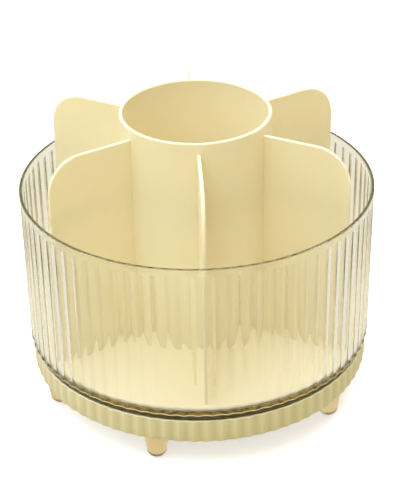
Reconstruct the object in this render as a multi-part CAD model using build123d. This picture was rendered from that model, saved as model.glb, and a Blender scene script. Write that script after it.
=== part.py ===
from build123d import *
import math
import os

# Rotating makeup organizer. A frosted base on six clear feet carries a clear fluted tub on a ring of
# balls, and a cream insert with a centre cup and six fins stands loose in the tub.
# Millimetres, +Z up, origin on the floor below the middle. The first fin points along -Y.

# Tub
tub_radius = 90.0
tub_height = 83.8
tub_draft = 0.85
tub_wall = 1.6
tub_floor = 2.8
rim_band = 3.0
rim_overhang = 0.1
rim_round = 0.6

# Flutes of the tub and the base: shallow hollows that meet in narrow ridges
flute_count = 78
flute_depth = 0.6
tub_flute_turn = 1.75

# Base tray
base_setback = 1.1
base_height = 13.4
base_wall = 1.5
base_floor = 2.4
base_round_inset = 2.0
base_round_height = 5.0
base_round_steps = 4
turn_gap = 3.6

# Feet: one at each turn, and one opposite it
foot_height = 15.4
foot_top_radius = 6.9
foot_bottom_radius = 5.5
foot_round = 4.0
foot_edge_inset = 0.8
foot_spigot_radius = 3.0
foot_spigot_height = 5.0
foot_socket_wall = 1.8
foot_socket_roof = 1.2
foot_turns = (-162.5, -108.6, -34.6)

# Divider insert
insert_height = 119.9
insert_floor = 1.3
insert_clearance = 0.6
insert_floor_round = 0.5
cup_rim_radius = 38.1
cup_foot_radius = 38.0
cup_wall = 1.8
fin_count = 6
fin_thickness = 1.8
fin_drop = 5.6
fin_wall_gap = 3.4
fin_corner_radius = 17.9
fin_edge_round_share = 0.45
first_fin_turn = -90.0

# Ball bearing
ball_count = 16
ball_diameter = 6.0
ball_circle_radius = 50.0
race_wall = 2.5
race_clearance = 0.05
cage_thickness = 2.0
cage_rim = 2.0
cage_clearance = 0.6
pocket_clearance = 0.2

# Turntable plate and spindle
plate_thickness = 2.5
plate_margin = 3.0
hub_radius = 6.0
hub_clearance = 0.05
boss_wall = 3.5
boss_gap = 1.0
washer_radius = 9.0
washer_thickness = 1.2
washer_play = 0.1
recess_clearance = 2.0
recess_cover = 1.0
spindle_shank_radius = 2.0
spindle_shank_length = 9.0
spindle_head_radius = 4.0
spindle_head_height = 2.2

# Plate screws
plate_screw_count = 4
plate_screw_circle_radius = 30.0
plate_screw_turn = 45.0
plate_screw_shank_radius = 1.25
plate_screw_head_radius = 2.6
plate_screw_head_height = 1.6
plate_screw_grip = 2.0

# Fits and cuts
peg_clearance = 0.05
hole_end_clearance = 0.3
cut_overrun = 1.0
drive_width_share = 0.3
drive_span_share = 1.2
drive_depth_share = 0.5

# Levels, from the floor up
base_bottom_z = foot_height
base_floor_z = base_bottom_z + base_floor
base_top_z = base_bottom_z + base_height
tub_bottom_z = base_top_z + turn_gap
tub_floor_z = tub_bottom_z + tub_floor
rim_z = tub_bottom_z + tub_height
insert_floor_z = tub_floor_z + insert_floor
cup_rim_z = tub_floor_z + insert_height
fin_top_z = cup_rim_z - fin_drop
plate_bottom_z = tub_bottom_z - plate_thickness
ball_z = (base_floor_z + plate_bottom_z) / 2
recess_roof_z = base_bottom_z + recess_cover + spindle_head_height + washer_thickness + washer_play
hub_end_z = recess_roof_z - washer_play

# Radii that follow
tub_inner_radius = tub_radius - tub_wall
tub_foot_radius = tub_radius - tub_draft
tub_inner_foot_radius = tub_foot_radius - tub_wall
base_radius = tub_foot_radius - base_setback
base_inner_radius = base_radius - base_wall
foot_circle_radius = base_radius - base_round_inset - foot_edge_inset - foot_top_radius
insert_floor_radius = tub_inner_foot_radius - insert_clearance
fin_outer_radius = tub_inner_foot_radius - fin_wall_gap
ball_radius = ball_diameter / 2
race_outer_radius = ball_circle_radius + ball_radius + race_wall
race_inner_radius = ball_circle_radius - ball_radius - race_wall
race_half_opening = cage_thickness / 2 + cage_clearance
plate_radius = race_outer_radius + plate_margin

standing = (Align.CENTER, Align.CENTER, Align.MIN)


def polar(radius, degrees, z=0):
    """A place at a radius from the axis and an angle from +X."""
    turn = math.radians(degrees)
    return Vector(radius * math.cos(turn), radius * math.sin(turn), z)


def disc(radius, low_z, high_z, centre=Vector(0, 0, 0)):
    """An upright cylinder between two heights."""
    return Pos(centre.X, centre.Y, low_z) * Cylinder(radius, high_z - low_z, align=standing)


def ring(outer_radius, inner_radius, low_z, high_z):
    """An upright tube between two heights."""
    bore = disc(inner_radius, low_z - cut_overrun, high_z + cut_overrun)
    return disc(outer_radius, low_z, high_z) - bore


def spread(count, first_turn=0):
    """Angles of evenly spaced places, in degrees."""
    return [first_turn + 360 * index / count for index in range(count)]


def fluted_face(ridge_radius, z, first_turn=0):
    """A level face whose edge is a ring of inward arcs, one for each flute."""
    half_step = 360 / flute_count / 2
    arcs = []
    for turn in spread(flute_count, first_turn):
        start = polar(ridge_radius, turn - half_step, z)
        hollow = polar(ridge_radius - flute_depth, turn, z)
        end = polar(ridge_radius, turn + half_step, z)
        arcs.append(ThreePointArc(start, hollow, end))
    return Face(Wire(arcs))


def turned(curves):
    """A solid turned about +Z from the curves of a closed outline, given as radius and height."""
    edges = [edge for curve in curves for edge in curve.edges()]
    return revolve(Plane.XZ * Face(Wire(edges)), Axis.Z)


def screw(head_radius, head_height, shank_radius, shank_length):
    """A screw that points up, its head under z = 0, with a cross drive in the head."""
    drive_span = head_radius * drive_span_share
    drive_width = head_radius * drive_width_share
    drive_depth = head_height * drive_depth_share
    solid = disc(head_radius, -head_height, 0) + disc(shank_radius, 0, shank_length)
    drive_place = Pos(0, 0, -head_height)
    solid -= drive_place * Box(drive_span, drive_width, 2 * drive_depth)
    solid -= drive_place * Box(drive_width, drive_span, 2 * drive_depth)
    return solid


def make_tub():
    """Fluted wall, wider at the top, a plain rim band and a thick floor with holes for the plate screws."""
    flutes_top_z = rim_z - rim_band
    foot_section = fluted_face(tub_foot_radius, tub_bottom_z, tub_flute_turn)
    top_section = fluted_face(tub_radius - rim_overhang, flutes_top_z, tub_flute_turn)
    tub = loft([foot_section, top_section], ruled=True)
    tub += disc(tub_radius, flutes_top_z, rim_z)
    cavity = Cone(tub_inner_foot_radius, tub_inner_radius, rim_z - tub_floor_z, align=standing)
    tub -= Pos(0, 0, tub_floor_z) * cavity
    tub = fillet(tub.edges().group_by(Axis.Z)[-1], rim_round)
    for place in plate_screw_places():
        hole_top_z = tub_bottom_z + plate_screw_grip + hole_end_clearance
        tub -= disc(plate_screw_shank_radius + peg_clearance, tub_bottom_z - cut_overrun, hole_top_z, place)
    return tub


def make_cup():
    """The centre cup's wall, with a full-round rim."""
    half_wall = cup_wall / 2
    shoulder_z = cup_rim_z - half_wall
    foot_outer = (cup_foot_radius, tub_floor_z)
    foot_inner = (cup_foot_radius - cup_wall, tub_floor_z)
    rim_outer = (cup_rim_radius, shoulder_z)
    rim_top = (cup_rim_radius - half_wall, cup_rim_z)
    rim_inner = (cup_rim_radius - cup_wall, shoulder_z)
    outline = [
        Line(foot_outer, rim_outer),
        ThreePointArc(rim_outer, rim_top, rim_inner),
        Line(rim_inner, foot_inner),
        Line(foot_inner, foot_outer),
    ]
    return turned(outline)


def make_fin():
    """One fin along +X, from the middle of the cup's wall out, with a rounded top corner and soft edges."""
    inner_x = cup_foot_radius - cup_wall / 2
    length = fin_outer_radius - inner_x
    height = fin_top_z - tub_floor_z
    plate = Box(length, fin_thickness, height, align=(Align.MIN, Align.CENTER, Align.MIN))
    top_outer = plate.edges().filter_by(Axis.Y).sort_by(lambda edge: edge.center().X + edge.center().Z)[-1]
    plate = fillet(top_outer, fin_corner_radius)
    soft_edges = []
    for edge in plate.faces().filter_by(Axis.Y).edges():
        if min(edge.center().X, edge.center().Z) > fin_thickness:
            soft_edges.append(edge)
    plate = fillet(soft_edges, fin_thickness * fin_edge_round_share)
    return Pos(inner_x, 0, tub_floor_z) * plate


def make_insert():
    """Floor disc, cup and fins in one moulding."""
    floor = disc(insert_floor_radius, tub_floor_z, insert_floor_z)
    floor = fillet(floor.edges().group_by(Axis.Z)[-1], insert_floor_round)
    fin = make_fin()
    fins = [Rot(0, 0, turn) * fin for turn in spread(fin_count, first_fin_turn)]
    return floor + make_cup() + fins


def foot_places():
    """Centres of the feet, each with its opposite."""
    places = []
    for turn in foot_turns:
        places += [polar(foot_circle_radius, turn), polar(foot_circle_radius, turn + 180)]
    return places


def make_foot():
    """A tapered peg with a rounded end and a small flat to stand on, and the spigot that holds it."""
    flat_radius = foot_bottom_radius - foot_round
    bend = math.radians(45)
    flat_edge = (flat_radius, 0)
    round_middle = (flat_radius + foot_round * math.sin(bend), foot_round * (1 - math.cos(bend)))
    round_top = (foot_bottom_radius, foot_round)
    shoulder = (foot_top_radius, foot_height)
    neck = (foot_spigot_radius, foot_height)
    spigot_top = (foot_spigot_radius, foot_height + foot_spigot_height)
    top_middle = (0, foot_height + foot_spigot_height)
    outline = [
        Line((0, 0), flat_edge),
        ThreePointArc(flat_edge, round_middle, round_top),
        Polyline(round_top, shoulder, neck, spigot_top, top_middle, (0, 0)),
    ]
    return turned(outline)


def race_groove():
    """The ring-shaped path of the balls."""
    return Pos(0, 0, ball_z) * Torus(ball_circle_radius, ball_radius + race_clearance)


def make_base():
    """Fluted tray with a rounded lower edge, a lower ball race, a hub boss and the foot sockets."""
    sections = []
    for step in range(base_round_steps + 1):
        turn = math.radians(90 * step / base_round_steps)
        radius = base_radius - base_round_inset * (1 - math.sin(turn))
        sections.append(fluted_face(radius, base_bottom_z + base_round_height * (1 - math.cos(turn))))
    sections.append(fluted_face(base_radius, base_top_z))
    tray = loft(sections, ruled=True)
    tray -= disc(base_inner_radius, base_floor_z, base_top_z + cut_overrun)

    race = ring(race_outer_radius, race_inner_radius, base_bottom_z, ball_z - race_half_opening)
    tray += race - race_groove()

    recess_radius = washer_radius + recess_clearance
    tray += disc(recess_radius + base_wall, base_bottom_z, recess_roof_z + base_floor)
    bore_radius = hub_radius + hub_clearance
    tray += disc(bore_radius + boss_wall, base_bottom_z, plate_bottom_z - boss_gap)
    tray -= disc(recess_radius, base_bottom_z - cut_overrun, recess_roof_z)
    tray -= disc(bore_radius, base_bottom_z, plate_bottom_z)

    socket_radius = foot_spigot_radius + peg_clearance
    socket_top_z = base_bottom_z + foot_spigot_height + hole_end_clearance
    for place in foot_places():
        tray += disc(socket_radius + foot_socket_wall, base_bottom_z, socket_top_z + foot_socket_roof, place)
        tray -= disc(socket_radius, base_bottom_z - cut_overrun, socket_top_z, place)
    return tray


def make_plate():
    """Disc under the tub floor, with the upper ball race and the hub that turns in the base."""
    plate = disc(plate_radius, plate_bottom_z, tub_bottom_z)
    plate += ring(race_outer_radius, race_inner_radius, ball_z + race_half_opening, tub_bottom_z)
    plate -= race_groove()
    plate += disc(hub_radius, hub_end_z, tub_bottom_z)
    hole_top_z = hub_end_z + spindle_shank_length + hole_end_clearance
    plate -= disc(spindle_shank_radius + peg_clearance, hub_end_z - cut_overrun, hole_top_z)
    for place in plate_screw_places():
        hole_radius = plate_screw_shank_radius + peg_clearance
        plate -= disc(hole_radius, plate_bottom_z - cut_overrun, tub_bottom_z + cut_overrun, place)
    return plate


def plate_screw_places():
    """Centres of the screws that hold the plate to the tub floor."""
    turns = spread(plate_screw_count, plate_screw_turn)
    return [polar(plate_screw_circle_radius, turn) for turn in turns]


def make_plate_screws():
    """The plate screws, as separate solids."""
    length = plate_thickness + plate_screw_grip
    one = screw(plate_screw_head_radius, plate_screw_head_height, plate_screw_shank_radius, length)
    return Compound([Pos(place.X, place.Y, plate_bottom_z) * one for place in plate_screw_places()])


def make_spindle_washer():
    """Flat washer between the spindle screw's head and the hub's end."""
    low_z = hub_end_z - washer_thickness
    return ring(washer_radius, spindle_shank_radius + peg_clearance, low_z, hub_end_z)


def make_spindle_screw():
    """Screw that holds the hub in the base from below."""
    length = washer_thickness + spindle_shank_length
    one = screw(spindle_head_radius, spindle_head_height, spindle_shank_radius, length)
    return Pos(0, 0, hub_end_z - washer_thickness) * one


def make_cage():
    """Flat ring that keeps the balls apart."""
    half_width = ball_radius + cage_rim
    low_z = ball_z - cage_thickness / 2
    high_z = ball_z + cage_thickness / 2
    cage = ring(ball_circle_radius + half_width, ball_circle_radius - half_width, low_z, high_z)
    for turn in spread(ball_count):
        place = polar(ball_circle_radius, turn)
        cage -= disc(ball_radius + pocket_clearance, low_z - cut_overrun, high_z + cut_overrun, place)
    return cage


nodes = {
    "base_tray": make_base(),
    "fluted_tub": make_tub(),
    "divider_insert": make_insert(),
    "turntable_plate": make_plate(),
    "plate_screws": make_plate_screws(),
    "spindle_washer": make_spindle_washer(),
    "spindle_screw": make_spindle_screw(),
    "ball_cage": make_cage(),
}
foot = make_foot()
for number, place in enumerate(foot_places(), 1):
    nodes[f"foot_{number}"] = Pos(place.X, place.Y, 0) * foot
for number, turn in enumerate(spread(ball_count), 1):
    nodes[f"bearing_ball_{number:02d}"] = Pos(polar(ball_circle_radius, turn, ball_z)) * Sphere(ball_radius)

os.makedirs("parts", exist_ok=True)
for name, solid in nodes.items():
    solid.label = name
    export_step(solid, f"parts/{name}.step")
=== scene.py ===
import bmesh
import bpy
import math
from mathutils import Matrix, Vector


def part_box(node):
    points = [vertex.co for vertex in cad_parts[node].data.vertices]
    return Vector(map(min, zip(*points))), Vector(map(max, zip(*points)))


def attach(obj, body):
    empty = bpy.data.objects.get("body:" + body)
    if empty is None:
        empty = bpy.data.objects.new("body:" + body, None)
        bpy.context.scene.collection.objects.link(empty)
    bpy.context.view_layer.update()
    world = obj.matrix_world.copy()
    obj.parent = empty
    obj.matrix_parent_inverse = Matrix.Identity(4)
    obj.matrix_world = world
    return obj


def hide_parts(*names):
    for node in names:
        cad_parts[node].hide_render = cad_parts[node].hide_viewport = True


# Rotating makeup organizer: a clear fluted tub turns on a frosted base with six clear feet, and a cream
# insert with a centre cup and six fins stands in the tub. Metres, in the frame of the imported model.

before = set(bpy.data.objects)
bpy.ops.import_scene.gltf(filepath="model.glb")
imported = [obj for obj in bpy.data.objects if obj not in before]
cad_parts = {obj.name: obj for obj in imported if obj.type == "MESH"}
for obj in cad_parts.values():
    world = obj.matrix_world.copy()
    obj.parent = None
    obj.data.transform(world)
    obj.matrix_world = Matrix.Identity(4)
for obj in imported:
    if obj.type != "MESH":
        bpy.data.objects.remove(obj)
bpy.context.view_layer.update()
tub_low, tub_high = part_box("fluted_tub")
base_low, base_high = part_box("base_tray")

# Sizes of the tub
TUB_RADIUS = min(tub_high.x, tub_high.y, -tub_low.x, -tub_low.y)
TUB_BOTTOM = tub_low.z
TUB_WALL = 0.0016
TUB_FLOOR = 0.0028
TUB_DRAFT = 0.00085
TUB_EDGE_ROUND = 0.0005
# How far above its rounding the painted highlight line on the floor's bottom edge reaches
TUB_EDGE_LINE = 0.0002
RIM_TOP = tub_high.z
RIM_BAND = 0.0030
RIM_OVERHANG = 0.0001
RIM_ROUND = 0.0006
# From this far below the top, the painted dark line on the rim is at its full depth
RIM_SHADE_LINE = RIM_ROUND / 3

# Flutes of the tub and the base: shallow hollows that meet in narrow ridges
FLUTE_COUNT = 78
FLUTE_STEP = 360 / FLUTE_COUNT
FLUTE_DEPTH = 0.0006
FLUTE_FADE = 0.0020
TUB_FLUTE_TURN = 1.75
RIDGE_ROUND_SHARE = 0.15

# Screw holes in the tub's floor
SCREW_COUNT = 4
SCREW_CIRCLE = 0.030
SCREW_TURN = 45.0
SCREW_HOLE_RADIUS = 0.0013
SCREW_HOLE_DEPTH = 0.0023

# Sizes of the base
BASE_RADIUS = base_high.y
BASE_BOTTOM = base_low.z
BASE_HEIGHT = 0.0134
BASE_WALL = 0.0015
BASE_FLOOR = 0.0024
BASE_ROUND_INSET = 0.0020
BASE_ROUND_HEIGHT = 0.0050
BASE_EDGE_ROUND = 0.00035
BASE_FLAT_INSET = 0.0012
BOSS_TOP = base_high.z
BOSS_RADIUS = 0.00955
BORE_RADIUS = 0.00605
RECESS_RADIUS = 0.0110
RECESS_DEPTH = 0.0045

# Ball race of the base
BALL_CIRCLE = 0.050
RACE_HALF_WIDTH = 0.0055
RACE_GROOVE = 0.00305
RACE_HALF_OPENING = 0.0016

# Feet and their sockets
FOOT_TOP_RADIUS = 0.0069
FOOT_BOTTOM_RADIUS = 0.0052
FOOT_ROUND = 0.0047
FOOT_SHOULDER_ROUND = 0.0003
SPIGOT_RADIUS = 0.0030
SPIGOT_HEIGHT = 0.0050
SOCKET_CLEARANCE = 0.00005
SOCKET_WALL = 0.0018
SOCKET_END = 0.0003
SOCKET_ROOF = 0.0012
SOCKET_MARGIN = 0.0006

# Air left between pieces that touch, so that clear plastic shows its own surface. The tub's wall sinks
# as far into its floor, so that no air shows there.
SEAT_GAP = 0.00004

# How finely round shapes are divided
POINTS_PER_FLUTE = 24
FINE = FLUTE_COUNT * POINTS_PER_FLUTE
MEDIUM = FLUTE_COUNT * 4
COARSE = FLUTE_COUNT * 2
COARSEST = FLUTE_COUNT
HOLE_POINTS = 24
SOCKET_POINTS = 32
FOOT_POINTS = 64
WALL_ROWS = 8
FADE_ROWS = 6
FOOT_ROWS = 4
TUB_EDGE_STEPS = 5
BASE_EDGE_STEPS = 4
SMALL_EDGE_STEPS = 3
BASE_ROUND_STEPS = 10
GROOVE_STEPS = 10
FOOT_ROUND_STEPS = 12
SHARP_EDGE = math.radians(35)

# Noise of the finishes: detail, and scales in features per metre
NOISE_DETAIL = 3.0
CLEAR_COLOUR_SCALE = 40
CLEAR_GLOSS_SCALE = 60
SATIN_COLOUR_SCALE = 25
SATIN_GLOSS_SCALE = 300
SATIN_GRAIN_SCALE = 2500
FROSTED_COLOUR_SCALE = 40
FROSTED_GLOSS_SCALE = 400
FROSTED_GRAIN_SCALE = 3000
METAL_COLOUR_SCALE = 200
METAL_GLOSS_SCALE = 900
FLOOR_COLOUR_SCALE = 3
RAMP_ENDS = (0.3, 0.7)

# Heights of the moulded grain
FINE_GRAIN = 0.00001
COARSE_GRAIN = 0.00002

# Clear and frosted plastic, and the light that spreads under a moulded surface
CLEAR_IOR = 1.50
CLEAR_ROUGHNESS = (0.0, 0.02)
FROSTED_IOR = 1.49
FROSTED_SCATTER = 0.05
SCATTER_RADIUS = (1.0, 0.8, 0.4)
SCATTER_SCALE = 0.002

# The painted highlight on outer edges: how far it reaches, and how open a place is where it is full and gone
EDGE_REACH = 0.0008
EDGE_OPENNESS = (0.6, 0.95)
EDGE_SAMPLES = 8

# Places of the colour sockets on a Mix node
MIX_FIRST = 6
MIX_SECOND = 7
MIX_RESULT = 2

# The floor, and as the plastic meets it: what fills its shade, what it mirrors and what shows through it
FLOOR_HALF_WIDTH = 4.0
FLOOR_WHITE = (0.80, 0.82, 0.86)
FLOOR_PALER = (0.82, 0.84, 0.88)
FLOOR_ROUGHNESS = 0.6
FLOOR_GLOW = 0.58
FLOOR_FILL = (0.70, 0.62, 0.41)
FLOOR_MIRRORED = (0.80, 0.79, 0.73)
FLOOR_SEEN_THROUGH = (0.84, 0.82, 0.70)

# Lamps: the height that they are turned to, their distances from there, and their widths and heights
LAMP_AIM = 0.08
PANEL_DISTANCE = 1.6
PANEL_SIZE = (0.8, 0.8)
TOP_DISTANCE = 1.5
TOP_SIZE = (1.4, 1.4)
STRIP_DISTANCE = 0.95
STRIP_SIZE = (0.18, 0.9)

# Bounces that light needs to pass the many walls of clear plastic
CLEAR_BOUNCES = 32
MOST_BOUNCES = 40


# Points and faces


def polar(radius, degrees, z):
    """A point at a radius and a turn about the axis."""
    turn = math.radians(degrees)
    return Vector((radius * math.cos(turn), radius * math.sin(turn), z))


def arc(centre, size, start, end, steps):
    """Points of an elliptic arc in radius and height, between two angles in degrees, both ends included."""
    points = []
    for step in range(steps + 1):
        angle = math.radians(start + (end - start) * step / steps)
        points.append((centre[0] + size[0] * math.cos(angle), centre[1] + size[1] * math.sin(angle)))
    return points


def smooth_step(share):
    """An even ease from 0 to 1."""
    return share * share * (3 - 2 * share)


def hollow(degrees):
    """How far a flute's face lies in from the ridges beside it, as a share of the flutes' depth."""
    away = abs(2 * (degrees / FLUTE_STEP % 1) - 1)
    soft = math.hypot(away, RIDGE_ROUND_SHARE) - RIDGE_ROUND_SHARE
    soft /= math.hypot(1, RIDGE_ROUND_SHARE) - RIDGE_ROUND_SHARE
    return soft * (2 - soft)


def ring(bm, radius, z, count, depth=0.0, first_turn=0.0):
    """A ring of points about the axis from a first turn on, with flutes of the given depth."""
    points = []
    for index in range(count):
        degrees = 360 * index / count
        points.append(bm.verts.new(polar(radius - depth * hollow(degrees), first_turn + degrees, z)))
    return points


def circle(bm, centre, radius, z, count):
    """A ring of points about another place than the axis."""
    points = []
    for index in range(count):
        points.append(bm.verts.new(polar(radius, 360 * index / count, z) + Vector((centre.x, centre.y, 0))))
    return points


def bridge(bm, first, second):
    """Faces between two rings of points, whose counts may differ by a whole ratio."""
    wide, narrow = (first, second) if len(first) >= len(second) else (second, first)
    ratio = len(wide) // len(narrow)
    for index, near in enumerate(narrow):
        after = narrow[(index + 1) % len(narrow)]
        run = [wide[(index * ratio + step) % len(wide)] for step in range(ratio + 1)]
        if ratio == 1:
            bm.faces.new((near, after, run[1], run[0]))
            continue
        middle = ratio // 2
        for step in range(ratio):
            corner = near if step < middle else after
            bm.faces.new((corner, run[step + 1], run[step]))
        bm.faces.new((near, after, run[middle]))


def skin(bm, rings):
    """Faces along a row of rings."""
    for first, second in zip(rings, rings[1:]):
        bridge(bm, first, second)


def cap(bm, points, centre):
    """A fan of faces that closes a ring at a centre point."""
    middle = bm.verts.new(centre)
    for index, point in enumerate(points):
        bm.faces.new((middle, point, points[(index + 1) % len(points)]))


def fill_between(bm, loops):
    """Flat faces between an outer loop and the loops inside it."""
    edges = []
    for loop in loops:
        for index, point in enumerate(loop):
            pair = (point, loop[(index + 1) % len(loop)])
            edges.append(bm.edges.get(pair) or bm.edges.new(pair))
    bmesh.ops.triangle_fill(bm, use_beauty=True, use_dissolve=False, edges=edges)


def blind_hole(bm, mouth, centre, end_z):
    """The wall and the end of a round hole or peg, from the ring at its mouth."""
    radius = (mouth[0].co.xy - centre.xy).length
    end = circle(bm, centre, radius, end_z, len(mouth))
    bridge(bm, mouth, end)
    cap(bm, end, (centre.x, centre.y, end_z))


def paint_edge_highlight(bm, low, high, least_radius):
    """Gives the faces of an edge, between two heights and outside a radius, the piece's second material,
    which paints a highlight line there.
    """
    for face in bm.faces:
        middle = face.calc_center_median()
        if low < middle.z < high and middle.xy.length > least_radius:
            face.material_index = 1


def piece(name, bm, body, slot, materials, *nodes):
    """A finished piece that rides on a body and stands for CAD nodes. The first material is its main one."""
    bmesh.ops.recalc_face_normals(bm, faces=bm.faces)
    mesh = bpy.data.meshes.new(name)
    bm.to_mesh(mesh)
    bm.free()
    mesh.shade_smooth()
    mesh.set_sharp_from_angle(angle=SHARP_EDGE)
    obj = bpy.data.objects.new(name, mesh)
    bpy.context.scene.collection.objects.link(obj)
    for material in materials:
        mesh.materials.append(material)
    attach(obj, body)
    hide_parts(*nodes)


# Clear tub


def tub_ridges(z):
    """The radius of the tub's ridges at a height."""
    share = (z - TUB_BOTTOM) / (RIM_TOP - RIM_BAND - TUB_BOTTOM)
    return TUB_RADIUS - TUB_DRAFT + (TUB_DRAFT - RIM_OVERHANG) * share


def make_tub_wall(material):
    """Fluted wall with a plain rim band, sunk a little into the top of the floor."""
    foot = TUB_BOTTOM + TUB_FLOOR - 2 * SEAT_GAP
    fade_bottom = RIM_TOP - RIM_BAND - FLUTE_FADE
    inner_rim = TUB_RADIUS - TUB_WALL
    rim_centre = RIM_TOP - RIM_ROUND
    rim_size = (RIM_ROUND, RIM_ROUND)
    rows = []
    for row in range(WALL_ROWS + 1):
        z = foot + (fade_bottom - foot) * row / WALL_ROWS
        rows.append((tub_ridges(z), z, FINE, FLUTE_DEPTH))
    for row in range(1, FADE_ROWS + 1):
        share = row / FADE_ROWS
        z = fade_bottom + FLUTE_FADE * share
        ease = smooth_step(share)
        rows.append((tub_ridges(z) + RIM_OVERHANG * ease, z, FINE, FLUTE_DEPTH * (1 - ease)))
    for radius, z in arc((TUB_RADIUS - RIM_ROUND, rim_centre), rim_size, 0, 90, TUB_EDGE_STEPS):
        rows.append((radius, z, FINE, 0.0))
    for radius, z in arc((inner_rim + RIM_ROUND, rim_centre), rim_size, 90, 180, TUB_EDGE_STEPS):
        rows.append((radius, z, MEDIUM, 0.0))
    rows.append((inner_rim - TUB_DRAFT, foot, MEDIUM, 0.0))

    bm = bmesh.new()
    rings = [ring(bm, *row, TUB_FLUTE_TURN) for row in rows]
    skin(bm, rings + rings[:1])
    piece("clear_tub_wall", bm, "turntable", "tub_clear", [material], "fluted_tub")


def make_tub_floor(material, highlight_material):
    """Thick floor that carries the flutes on round its side, with blind holes below for the plate screws."""
    bottom = TUB_BOTTOM + SEAT_GAP
    top = TUB_BOTTOM + TUB_FLOOR - SEAT_GAP
    plain = TUB_RADIUS - TUB_DRAFT - TUB_WALL
    edge_top = bottom + TUB_EDGE_ROUND
    edge_centre = (tub_ridges(bottom) - TUB_EDGE_ROUND, edge_top)
    line_top = edge_top + TUB_EDGE_LINE
    side = arc(edge_centre, (TUB_EDGE_ROUND, TUB_EDGE_ROUND), -90, 0, TUB_EDGE_STEPS)
    side += [(tub_ridges(line_top), line_top), (tub_ridges(top), top)]

    bm = bmesh.new()
    lower = ring(bm, plain, bottom, MEDIUM, first_turn=TUB_FLUTE_TURN)
    upper = ring(bm, plain, top, MEDIUM, first_turn=TUB_FLUTE_TURN)
    fluted = [ring(bm, radius, z, FINE, FLUTE_DEPTH, TUB_FLUTE_TURN) for radius, z in side]
    skin(bm, [lower] + fluted + [upper])
    cap(bm, upper, (0, 0, top))
    mouths = []
    for index in range(SCREW_COUNT):
        centre = polar(SCREW_CIRCLE, SCREW_TURN + 360 * index / SCREW_COUNT, bottom)
        mouth = circle(bm, centre, SCREW_HOLE_RADIUS, bottom, HOLE_POINTS)
        blind_hole(bm, mouth, centre, TUB_BOTTOM + SCREW_HOLE_DEPTH)
        mouths.append(mouth)
    fill_between(bm, [lower] + mouths)
    # Painted highlight: a pale opaque line on the floor's rounded bottom edge
    paint_edge_highlight(bm, bottom, line_top, plain)
    piece("clear_tub_floor", bm, "turntable", "tub_clear", [material, highlight_material], "fluted_tub")


# Frosted base and feet


def foot_centres():
    """The middle of each foot, from its CAD node."""
    centres = {}
    for name in sorted(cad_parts):
        if name.startswith("foot_"):
            low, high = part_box(name)
            centres[name] = (low + high) / 2
    return centres


def race_outline(floor):
    """The lower ball race in section, from its inner wall to its outer wall: radius and height."""
    ball_z = sum(corner.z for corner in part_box("bearing_ball_01")) / 2
    top = ball_z - RACE_HALF_OPENING
    reach = math.degrees(math.acos(RACE_HALF_OPENING / RACE_GROOVE))
    groove = arc((BALL_CIRCLE, ball_z), (RACE_GROOVE, RACE_GROOVE), 270 - reach, 270 + reach, GROOVE_STEPS)
    inner = BALL_CIRCLE - RACE_HALF_WIDTH
    outer = BALL_CIRCLE + RACE_HALF_WIDTH
    return [(inner, floor), (inner, top)] + groove + [(outer, top), (outer, floor)]


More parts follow.
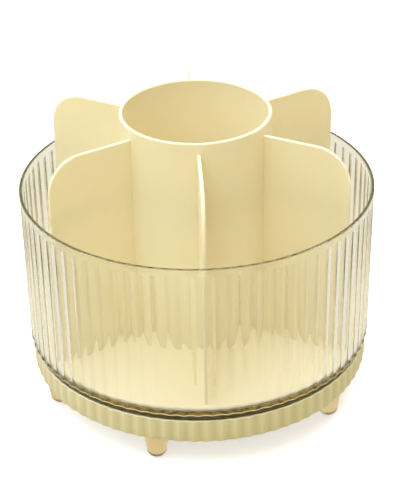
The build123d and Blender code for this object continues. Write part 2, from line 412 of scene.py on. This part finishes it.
def make_base(material, highlight_material):
    """Fluted tray with a rounded lower edge, ball race, hub boss, screw recess and foot sockets."""
    bm = bmesh.new()
    floor = BASE_BOTTOM + BASE_FLOOR
    top = BASE_BOTTOM + BASE_HEIGHT
    recess_roof = BASE_BOTTOM + RECESS_DEPTH
    housing_radius = RECESS_RADIUS + BASE_WALL
    housing_top = recess_roof + BASE_FLOOR
    inner_wall = BASE_RADIUS - BASE_WALL

    # Inside: bore, boss, housing and race, out to the field that holds the sockets
    centre_outline = [
        (BORE_RADIUS, recess_roof), (BORE_RADIUS, BOSS_TOP),
        (BOSS_RADIUS, BOSS_TOP), (BOSS_RADIUS, housing_top),
        (housing_radius, housing_top), (housing_radius, floor),
    ]
    inside = centre_outline + race_outline(floor)
    inside_rings = [ring(bm, radius, z, COARSEST) for radius, z in inside]

    socket_outer = SPIGOT_RADIUS + SOCKET_CLEARANCE + SOCKET_WALL
    centres = foot_centres()
    foot_circle = next(iter(centres.values())).xy.length
    field_inner = foot_circle - (socket_outer + SOCKET_MARGIN)
    upper_near = ring(bm, field_inner, floor, COARSE)
    upper_far = ring(bm, inner_wall, floor, MEDIUM)
    skin(bm, inside_rings + [upper_near])

    # Wall, from the floor inside over the rim to the rounded lower edge
    edge_z = top - BASE_EDGE_ROUND
    edge_size = (BASE_EDGE_ROUND, BASE_EDGE_ROUND)
    wall = arc((inner_wall + BASE_EDGE_ROUND, edge_z), edge_size, 180, 90, SMALL_EDGE_STEPS)
    wall_rings = [ring(bm, radius, z, MEDIUM) for radius, z in wall]
    outside = arc((BASE_RADIUS - BASE_EDGE_ROUND, edge_z), edge_size, 90, 0, BASE_EDGE_STEPS)
    round_centre = (BASE_RADIUS - BASE_ROUND_INSET, BASE_BOTTOM + BASE_ROUND_HEIGHT)
    outside += arc(round_centre, (BASE_ROUND_INSET, BASE_ROUND_HEIGHT), 0, -90, BASE_ROUND_STEPS)
    outside_rings = [ring(bm, radius, z, FINE, FLUTE_DEPTH) for radius, z in outside]
    lower_far = ring(bm, round_centre[0] - BASE_FLAT_INSET, BASE_BOTTOM, MEDIUM)
    skin(bm, [upper_far] + wall_rings + outside_rings + [lower_far])

    # Underside, from the field in to the screw recess and the bore
    lower_near = ring(bm, field_inner, BASE_BOTTOM, COARSE)
    recess = [(RECESS_RADIUS, BASE_BOTTOM), (RECESS_RADIUS, recess_roof)]
    recess_rings = [ring(bm, radius, z, COARSEST) for radius, z in recess]
    skin(bm, [lower_near] + recess_rings + [inside_rings[0]])

    # Sockets of the feet, and the fields round them
    upper_mouths = []
    lower_mouths = []
    hole_end = BASE_BOTTOM + SPIGOT_HEIGHT + SOCKET_END
    for centre in centres.values():
        pillar = circle(bm, centre, socket_outer, floor, SOCKET_POINTS)
        hole = circle(bm, centre, SPIGOT_RADIUS + SOCKET_CLEARANCE, BASE_BOTTOM, SOCKET_POINTS)
        blind_hole(bm, pillar, centre, hole_end + SOCKET_ROOF)
        blind_hole(bm, hole, centre, hole_end)
        upper_mouths.append(pillar)
        lower_mouths.append(hole)
    fill_between(bm, [upper_far, upper_near] + upper_mouths)
    fill_between(bm, [lower_far, lower_near] + lower_mouths)
    # Painted highlight: a pale opaque line on the rounded top edge of the wall
    paint_edge_highlight(bm, edge_z, top + SEAT_GAP, inner_wall)
    piece("frosted_base", bm, "base", "base_frosted", [material, highlight_material], "base_tray")


def make_foot(name, centre, material):
    """A tapered clear peg with a rounded end, a small flat to stand on and the spigot that holds it."""
    bm = bmesh.new()
    shoulder_z = BASE_BOTTOM - SEAT_GAP
    side_top = shoulder_z - FOOT_SHOULDER_ROUND
    spigot_top = BASE_BOTTOM + SPIGOT_HEIGHT
    slope = (FOOT_TOP_RADIUS - FOOT_BOTTOM_RADIUS) / (BASE_BOTTOM - FOOT_ROUND)
    end_centre = (FOOT_BOTTOM_RADIUS - FOOT_ROUND, FOOT_ROUND)
    outline = arc(end_centre, (FOOT_ROUND, FOOT_ROUND), -90, 0, FOOT_ROUND_STEPS)
    for row in range(1, FOOT_ROWS + 1):
        z = FOOT_ROUND + (side_top - FOOT_ROUND) * row / FOOT_ROWS
        outline.append((FOOT_BOTTOM_RADIUS + slope * (z - FOOT_ROUND), z))
    shoulder = (outline[-1][0] - FOOT_SHOULDER_ROUND, side_top)
    outline += arc(shoulder, (FOOT_SHOULDER_ROUND, FOOT_SHOULDER_ROUND), 0, 90, SMALL_EDGE_STEPS)[1:]
    outline += [(SPIGOT_RADIUS, shoulder_z), (SPIGOT_RADIUS, spigot_top)]
    rings = [circle(bm, centre, radius, z, FOOT_POINTS) for radius, z in outline]
    skin(bm, rings)
    cap(bm, rings[0], (centre.x, centre.y, 0))
    cap(bm, rings[-1], (centre.x, centre.y, spigot_top))
    piece("clear_" + name, bm, "base", "foot_amber", [material], name)


# Materials


def new_material(name):
    """A material with one Principled shader: the material, its tree and the shader."""
    material = bpy.data.materials.new(name)
    material.use_nodes = True
    tree = material.node_tree
    return material, tree, tree.nodes["Principled BSDF"]


def noise(tree, scale):
    """A noise value over the piece's own coordinates, with features of about 1 / scale metres."""
    place = tree.nodes.new("ShaderNodeTexCoord")
    texture = tree.nodes.new("ShaderNodeTexNoise")
    texture.inputs["Scale"].default_value = scale
    texture.inputs["Detail"].default_value = NOISE_DETAIL
    tree.links.new(place.outputs["Object"], texture.inputs["Vector"])
    return texture.outputs["Fac"]


def between(tree, value, low, high, start=0.0, end=1.0):
    """A value that goes from low to high as another goes from start to end."""
    spread = tree.nodes.new("ShaderNodeMapRange")
    for socket, limit in zip(("From Min", "From Max", "To Min", "To Max"), (start, end, low, high)):
        spread.inputs[socket].default_value = limit
    tree.links.new(value, spread.inputs["Value"])
    return spread.outputs["Result"]


def place_axes(tree):
    """Outputs of a point's place along the axes, in the piece's own coordinates."""
    place = tree.nodes.new("ShaderNodeTexCoord")
    split = tree.nodes.new("ShaderNodeSeparateXYZ")
    tree.links.new(place.outputs["Object"], split.inputs["Vector"])
    return split.outputs


def flute_light_share(tree):
    """A value that goes from 0 in the middle of the base's flutes to 1 on their ridges, for their painted
    light and shade.
    """
    axes = place_axes(tree)
    turn = tree.nodes.new("ShaderNodeMath")
    turn.operation = "ARCTAN2"
    tree.links.new(axes["Y"], turn.inputs[0])
    tree.links.new(axes["X"], turn.inputs[1])
    flutes = tree.nodes.new("ShaderNodeMath")
    flutes.operation = "MULTIPLY"
    flutes.inputs[1].default_value = FLUTE_COUNT / math.pi
    tree.links.new(turn.outputs["Value"], flutes.inputs[0])
    wave = tree.nodes.new("ShaderNodeMath")
    wave.operation = "PINGPONG"
    wave.inputs[1].default_value = 1.0
    tree.links.new(flutes.outputs["Value"], wave.inputs[0])
    return wave.outputs["Value"]


def edge_highlight_share(tree):
    """A value that rises to 1 on outer edges, where a highlight is painted."""
    nearness = tree.nodes.new("ShaderNodeAmbientOcclusion")
    nearness.inside = True
    nearness.only_local = True
    nearness.samples = EDGE_SAMPLES
    nearness.inputs["Distance"].default_value = EDGE_REACH
    return between(tree, nearness.outputs["AO"], 1.0, 0.0, *EDGE_OPENNESS)


def mix_colours(tree, share, first, second):
    """A colour that goes from one output to a fixed colour with a share."""
    mix = tree.nodes.new("ShaderNodeMix")
    mix.data_type = "RGBA"
    tree.links.new(share, mix.inputs["Factor"])
    tree.links.new(first, mix.inputs[MIX_FIRST])
    mix.inputs[MIX_SECOND].default_value = (*second, 1)
    return mix.outputs[MIX_RESULT]


def mix_shaders(tree, share, first, second):
    """A surface that goes from one shader to another with a share."""
    mix = tree.nodes.new("ShaderNodeMixShader")
    for socket, value in zip(mix.inputs, (share, first, second)):
        tree.links.new(value, socket)
    return mix.outputs["Shader"]


def two_colours(tree, scale, first, second):
    """A colour that wanders between two, with noise of a scale."""
    ramp = tree.nodes.new("ShaderNodeValToRGB")
    for stop, position, colour in zip(ramp.color_ramp.elements, RAMP_ENDS, (first, second)):
        stop.position = position
        stop.color = (*colour, 1)
    tree.links.new(noise(tree, scale), ramp.inputs["Fac"])
    return ramp.outputs["Color"]


def grain(tree, shader, scale, height):
    """A fine moulded surface on a shader."""
    bump = tree.nodes.new("ShaderNodeBump")
    bump.inputs["Distance"].default_value = height
    tree.links.new(noise(tree, scale), bump.inputs["Height"])
    tree.links.new(bump.outputs["Normal"], shader.inputs["Normal"])


def scatter(shader, weight):
    """Light that spreads a little under the surface."""
    shader.inputs["Subsurface Weight"].default_value = weight
    shader.inputs["Subsurface Radius"].default_value = SCATTER_RADIUS
    shader.inputs["Subsurface Scale"].default_value = SCATTER_SCALE


def let_lamps_through(tree, shader, colour):
    """Clear plastic that lamps shine through, tinted, so that what it holds is lit."""
    path = tree.nodes.new("ShaderNodeLightPath")
    open_side = tree.nodes.new("ShaderNodeBsdfTransparent")
    open_side.inputs["Color"].default_value = (*colour, 1)
    shadow = path.outputs["Is Shadow Ray"]
    surface = mix_shaders(tree, shadow, shader.outputs["BSDF"], open_side.outputs["BSDF"])
    tree.links.new(surface, tree.nodes["Material Output"].inputs["Surface"])


def tint(tree, colour, density):
    """Colour that deepens with the way through the plastic."""
    absorption = tree.nodes.new("ShaderNodeVolumeAbsorption")
    absorption.inputs["Color"].default_value = (*colour, 1)
    absorption.inputs["Density"].default_value = density
    tree.links.new(absorption.outputs["Volume"], tree.nodes["Material Output"].inputs["Volume"])


def clear_plastic(name, colour, density, lamp_colour, first, second):
    """Polished clear plastic with a faint unevenness of its colour and gloss."""
    material, tree, shader = new_material(name)
    tree.links.new(two_colours(tree, CLEAR_COLOUR_SCALE, first, second), shader.inputs["Base Color"])
    shader.inputs["Transmission Weight"].default_value = 1.0
    shader.inputs["IOR"].default_value = CLEAR_IOR
    gloss = between(tree, noise(tree, CLEAR_GLOSS_SCALE), *CLEAR_ROUGHNESS)
    tree.links.new(gloss, shader.inputs["Roughness"])
    let_lamps_through(tree, shader, lamp_colour)
    tint(tree, colour, density)
    return material


def paint_rim_shade(material, colour):
    """Painted shade on the tub's rim: its base colour turns to a dark colour towards the top of the rounded
    rim.
    """
    tree = material.node_tree
    base_colour = tree.nodes["Principled BSDF"].inputs["Base Color"]
    share = between(tree, place_axes(tree)["Z"], 0.0, 1.0, RIM_TOP - RIM_ROUND, RIM_TOP - RIM_SHADE_LINE)
    tree.links.new(mix_colours(tree, share, base_colour.links[0].from_socket, colour), base_colour)


def satin_plastic(name, first, second, rough, grain_height, edge_highlight_colour, soft=0.0):
    """Opaque moulded plastic: two close colours, a painted highlight on outer edges, satin gloss and a fine
    grain.
    """
    material, tree, shader = new_material(name)
    colour = two_colours(tree, SATIN_COLOUR_SCALE, first, second)
    # Painted highlight: outer edges turn to the paler edge colour
    colour = mix_colours(tree, edge_highlight_share(tree), colour, edge_highlight_colour)
    tree.links.new(colour, shader.inputs["Base Color"])
    tree.links.new(between(tree, noise(tree, SATIN_GLOSS_SCALE), *rough), shader.inputs["Roughness"])
    scatter(shader, soft)
    grain(tree, shader, SATIN_GRAIN_SCALE, grain_height)
    return material


def frosted_plastic(name, first, second, rough, clear, ridge_highlight_colour):
    """Translucent plastic with a frosted face, with painted shade in the flutes' hollows and painted
    highlight on their ridges.
    """
    material, tree, shader = new_material(name)
    colour = two_colours(tree, FROSTED_COLOUR_SCALE, first, second)
    # Painted light and shade of the flutes: darker in the hollows, paler on the ridges
    colour = mix_colours(tree, flute_light_share(tree), colour, ridge_highlight_colour)
    tree.links.new(colour, shader.inputs["Base Color"])
    tree.links.new(between(tree, noise(tree, FROSTED_GLOSS_SCALE), *rough), shader.inputs["Roughness"])
    shader.inputs["Transmission Weight"].default_value = clear
    shader.inputs["IOR"].default_value = FROSTED_IOR
    scatter(shader, FROSTED_SCATTER)
    grain(tree, shader, FROSTED_GRAIN_SCALE, FINE_GRAIN)
    return material


def metal(name, first, second, rough):
    """Plated or polished steel with faint marks in its gloss."""
    material, tree, shader = new_material(name)
    tree.links.new(two_colours(tree, METAL_COLOUR_SCALE, first, second), shader.inputs["Base Color"])
    tree.links.new(between(tree, noise(tree, METAL_GLOSS_SCALE), *rough), shader.inputs["Roughness"])
    shader.inputs["Metallic"].default_value = 1.0
    return material


def dress(node, material):
    """Gives a CAD node its finish."""
    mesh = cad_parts[node].data
    mesh.materials.clear()
    mesh.materials.append(material)


# Stage, light and camera


def make_floor():
    """A plain white floor, with other looks for plastic: to fill shade, be mirrored and show through."""
    bm = bmesh.new()
    bmesh.ops.create_grid(bm, x_segments=1, y_segments=1, size=FLOOR_HALF_WIDTH)
    mesh = bpy.data.meshes.new("floor")
    bm.to_mesh(mesh)
    bm.free()
    floor = bpy.data.objects.new("floor", mesh)
    bpy.context.scene.collection.objects.link(floor)
    material, tree, shader = new_material("floor_white")
    colour = two_colours(tree, FLOOR_COLOUR_SCALE, FLOOR_WHITE, FLOOR_PALER)
    tree.links.new(colour, shader.inputs["Base Color"])
    shader.inputs["Roughness"].default_value = FLOOR_ROUGHNESS
    shader.inputs["Emission Color"].default_value = (1, 1, 1, 1)
    shader.inputs["Emission Strength"].default_value = FLOOR_GLOW
    path = tree.nodes.new("ShaderNodeLightPath")
    surface = shader.outputs["BSDF"]
    looks = [
        ("Is Glossy Ray", "ShaderNodeEmission", FLOOR_MIRRORED),
        ("Is Transmission Ray", "ShaderNodeEmission", FLOOR_SEEN_THROUGH),
        ("Diffuse Depth", "ShaderNodeBsdfDiffuse", FLOOR_FILL),
    ]
    for ray, kind, look_colour in looks:
        look = tree.nodes.new(kind)
        look.inputs["Color"].default_value = (*look_colour, 1)
        surface = mix_shaders(tree, path.outputs[ray], surface, look.outputs[0])
    tree.links.new(surface, tree.nodes["Material Output"].inputs["Surface"])
    mesh.materials.append(material)


def work(tree, operation, *values):
    """The result of a sum on node outputs and triples of numbers."""
    node = tree.nodes.new("ShaderNodeVectorMath")
    node.operation = operation
    for socket, value in zip(node.inputs, values):
        if isinstance(value, tuple):
            socket.default_value = value
        else:
            tree.links.new(value, socket)
    return node.outputs["Vector"]


def make_world(top, behind, left, shown):
    """A dome that lights what is matt, brighter overhead, behind and on the left.

    Where it is seen, mirrored or shows through plastic, it is even in the shown colour."""
    world = bpy.data.worlds.new("studio")
    bpy.context.scene.world = world
    world.use_nodes = True
    tree = world.node_tree
    place = tree.nodes.new("ShaderNodeTexCoord")
    split = tree.nodes.new("ShaderNodeSeparateXYZ")
    path = tree.nodes.new("ShaderNodeLightPath")
    tree.links.new(place.outputs["Generated"], split.inputs["Vector"])
    leftward = work(tree, "MAXIMUM", work(tree, "MULTIPLY", split.outputs["X"], (-1, -1, -1)), (0, 0, 0))
    backward = work(tree, "MAXIMUM", split.outputs["Y"], (0, 0, 0))
    upward = work(tree, "MAXIMUM", split.outputs["Z"], (0, 0, 0))
    glow = work(tree, "MULTIPLY_ADD", backward, behind, top)
    glow = work(tree, "MULTIPLY_ADD", leftward, left, glow)
    dome = work(tree, "MULTIPLY", upward, glow)
    change = work(tree, "SUBTRACT", dome, shown)
    lighting = work(tree, "MINIMUM", path.outputs["Diffuse Depth"], (1, 1, 1))
    colour = work(tree, "MULTIPLY_ADD", change, lighting, shown)
    tree.links.new(colour, tree.nodes["Background"].inputs["Color"])
    tree.nodes["Background"].inputs["Strength"].default_value = 1.0


def make_lamp(name, distance, size, left, rise, radiance, soft):
    """A rectangular light, turned to the left of the front and raised. Its face shines in the given colour.

    A soft lamp lights the plastic and is not seen in it; any other only shows as a gleam."""
    strength = max(radiance)
    lamp = bpy.data.lights.new(name, "AREA")
    lamp.shape = "RECTANGLE"
    lamp.size, lamp.size_y = size
    lamp.energy = strength * math.pi * size[0] * size[1]
    lamp.color = [value / strength for value in radiance]
    obj = bpy.data.objects.new(name, lamp)
    bpy.context.scene.collection.objects.link(obj)
    aim = Vector((0, 0, LAMP_AIM))
    away = polar(math.cos(math.radians(rise)), -90 - left, math.sin(math.radians(rise)))
    obj.location = aim + distance * away
    obj.rotation_euler = (-away).to_track_quat("-Z", "Y").to_euler()
    obj.visible_diffuse = soft
    obj.visible_glossy = not soft
    obj.visible_transmission = False


def make_camera():
    """The photograph's view. Rise and distance are about the middle of the base's top, and so is the aim."""
    turn = math.radians(-1.98)
    rise = math.radians(32.605)
    roll = -0.0151
    distance = 0.8889
    focal_pixels = 1663.28
    image_height = 501
    aim_aside = 0.00521
    aim_height = 0.04566
    camera = bpy.data.cameras.new("camera")
    camera.sensor_width = 36.0
    camera.lens = camera.sensor_width * focal_pixels / image_height
    camera.clip_start = 0.01
    obj = bpy.data.objects.new("camera", camera)
    bpy.context.scene.collection.objects.link(obj)
    middle = Vector((0, 0, BASE_BOTTOM + BASE_HEIGHT))
    eye = middle + distance * Vector((0, -math.cos(rise), math.sin(rise)))
    aim = middle + Vector((aim_aside, 0, aim_height))
    look = (aim - eye).to_track_quat("-Z", "Y").to_matrix().to_4x4() @ Matrix.Rotation(roll, 4, "Z")
    obj.matrix_world = Matrix.Rotation(turn, 4, "Z") @ Matrix.Translation(eye) @ look
    bpy.context.scene.camera = obj


# Finishes

TUB_SHADE = (0.98, 0.97, 0.93)
clear = clear_plastic(
    "clear_pale", colour=(0.78, 0.69, 0.0), density=8.0, lamp_colour=TUB_SHADE,
    first=(0.99, 0.99, 0.98), second=(1.0, 1.0, 1.0))
# Painted shade: a dark olive line along the top of the tub's rim
paint_rim_shade(clear, colour=(0.30, 0.27, 0.13))
deep = clear_plastic(
    "clear_deep", colour=(0.83, 0.745, 0.0), density=30.0, lamp_colour=TUB_SHADE,
    first=(0.99, 0.98, 0.95), second=(1.0, 1.0, 0.98))
amber = clear_plastic(
    "clear_amber", colour=(0.80, 0.58, 0.04), density=58.0, lamp_colour=(0.97, 0.93, 0.82),
    first=(0.94, 0.82, 0.60), second=(0.96, 0.86, 0.66))
# Painted highlight: the pale opaque line on the tub floor's bottom edge and the base's top edge
edge = satin_plastic(
    "edge_highlight_line", first=(0.90, 0.84, 0.62), second=(0.93, 0.88, 0.68), rough=(0.25, 0.35),
    grain_height=FINE_GRAIN, edge_highlight_colour=(0.95, 0.92, 0.80))
# Painted shade in the base's flute hollows and painted highlight on their ridges
frosted = frosted_plastic(
    "frosted", first=(0.69, 0.63, 0.36), second=(0.72, 0.66, 0.39), rough=(0.30, 0.38),
    clear=0.15, ridge_highlight_colour=(0.85, 0.78, 0.51))
# Painted highlight: each satin plastic's edge colour pales its outer edges, the insert's fins and cup among
# them
cream = satin_plastic(
    "cream", first=(0.914, 0.824, 0.565), second=(0.924, 0.838, 0.585), rough=(0.36, 0.44),
    grain_height=FINE_GRAIN, edge_highlight_colour=(0.98, 0.95, 0.84), soft=0.1)
off_white = satin_plastic(
    "off_white", first=(0.80, 0.76, 0.64), second=(0.84, 0.80, 0.68), rough=(0.42, 0.52),
    grain_height=COARSE_GRAIN, edge_highlight_colour=(0.86, 0.83, 0.74))
natural = satin_plastic(
    "natural", first=(0.78, 0.78, 0.74), second=(0.82, 0.82, 0.79), rough=(0.40, 0.50),
    grain_height=COARSE_GRAIN, edge_highlight_colour=(0.86, 0.86, 0.84))
ball_steel = metal("ball_steel", first=(0.74, 0.74, 0.76), second=(0.80, 0.80, 0.82), rough=(0.06, 0.12))
zinc = metal("zinc_steel", first=(0.58, 0.58, 0.60), second=(0.70, 0.70, 0.72), rough=(0.25, 0.38))

# Pieces

make_tub_wall(clear)
make_tub_floor(deep, edge)
make_base(frosted, edge)
for foot_name, foot_centre in foot_centres().items():
    make_foot(foot_name, foot_centre, amber)
dress("divider_insert", cream)
dress("turntable_plate", off_white)
dress("ball_cage", natural)
for node in ("plate_screws", "spindle_washer", "spindle_screw"):
    dress(node, zinc)
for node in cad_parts:
    if node.startswith("bearing_ball"):
        dress(node, ball_steel)

# Studio

make_floor()
make_world(
    top=(1.18, 1.03, 0.62), behind=(1.95, 2.00, 2.15), left=(1.36, 1.55, 1.78),
    shown=(0.78, 0.78, 0.75))
make_lamp("left", PANEL_DISTANCE, PANEL_SIZE, left=60, rise=50, radiance=(0.30, 0.52, 0.85), soft=True)
make_lamp("front", PANEL_DISTANCE, PANEL_SIZE, left=30, rise=55, radiance=(1.28, 1.45, 1.63), soft=True)
make_lamp("back_left", PANEL_DISTANCE, PANEL_SIZE, left=150, rise=55, radiance=(0.55, 0.55, 0.55), soft=True)
make_lamp("back_right", PANEL_DISTANCE, PANEL_SIZE, left=210, rise=55, radiance=(1.05, 1.05, 1.1), soft=True)
make_lamp("top", TOP_DISTANCE, TOP_SIZE, left=0, rise=90, radiance=(1.62, 1.93, 2.62), soft=True)
make_lamp("left_strip", STRIP_DISTANCE, STRIP_SIZE, left=68, rise=20, radiance=(7.0, 7.0, 7.0), soft=False)
make_lamp("right_strip", STRIP_DISTANCE, STRIP_SIZE, left=-74, rise=20, radiance=(8.0, 8.0, 8.0), soft=False)
make_camera()

scene = bpy.context.scene
scene.view_settings.view_transform = "Standard"
scene.cycles.max_bounces = MOST_BOUNCES
scene.cycles.glossy_bounces = CLEAR_BOUNCES
scene.cycles.transmission_bounces = CLEAR_BOUNCES
scene.cycles.transparent_max_bounces = CLEAR_BOUNCES
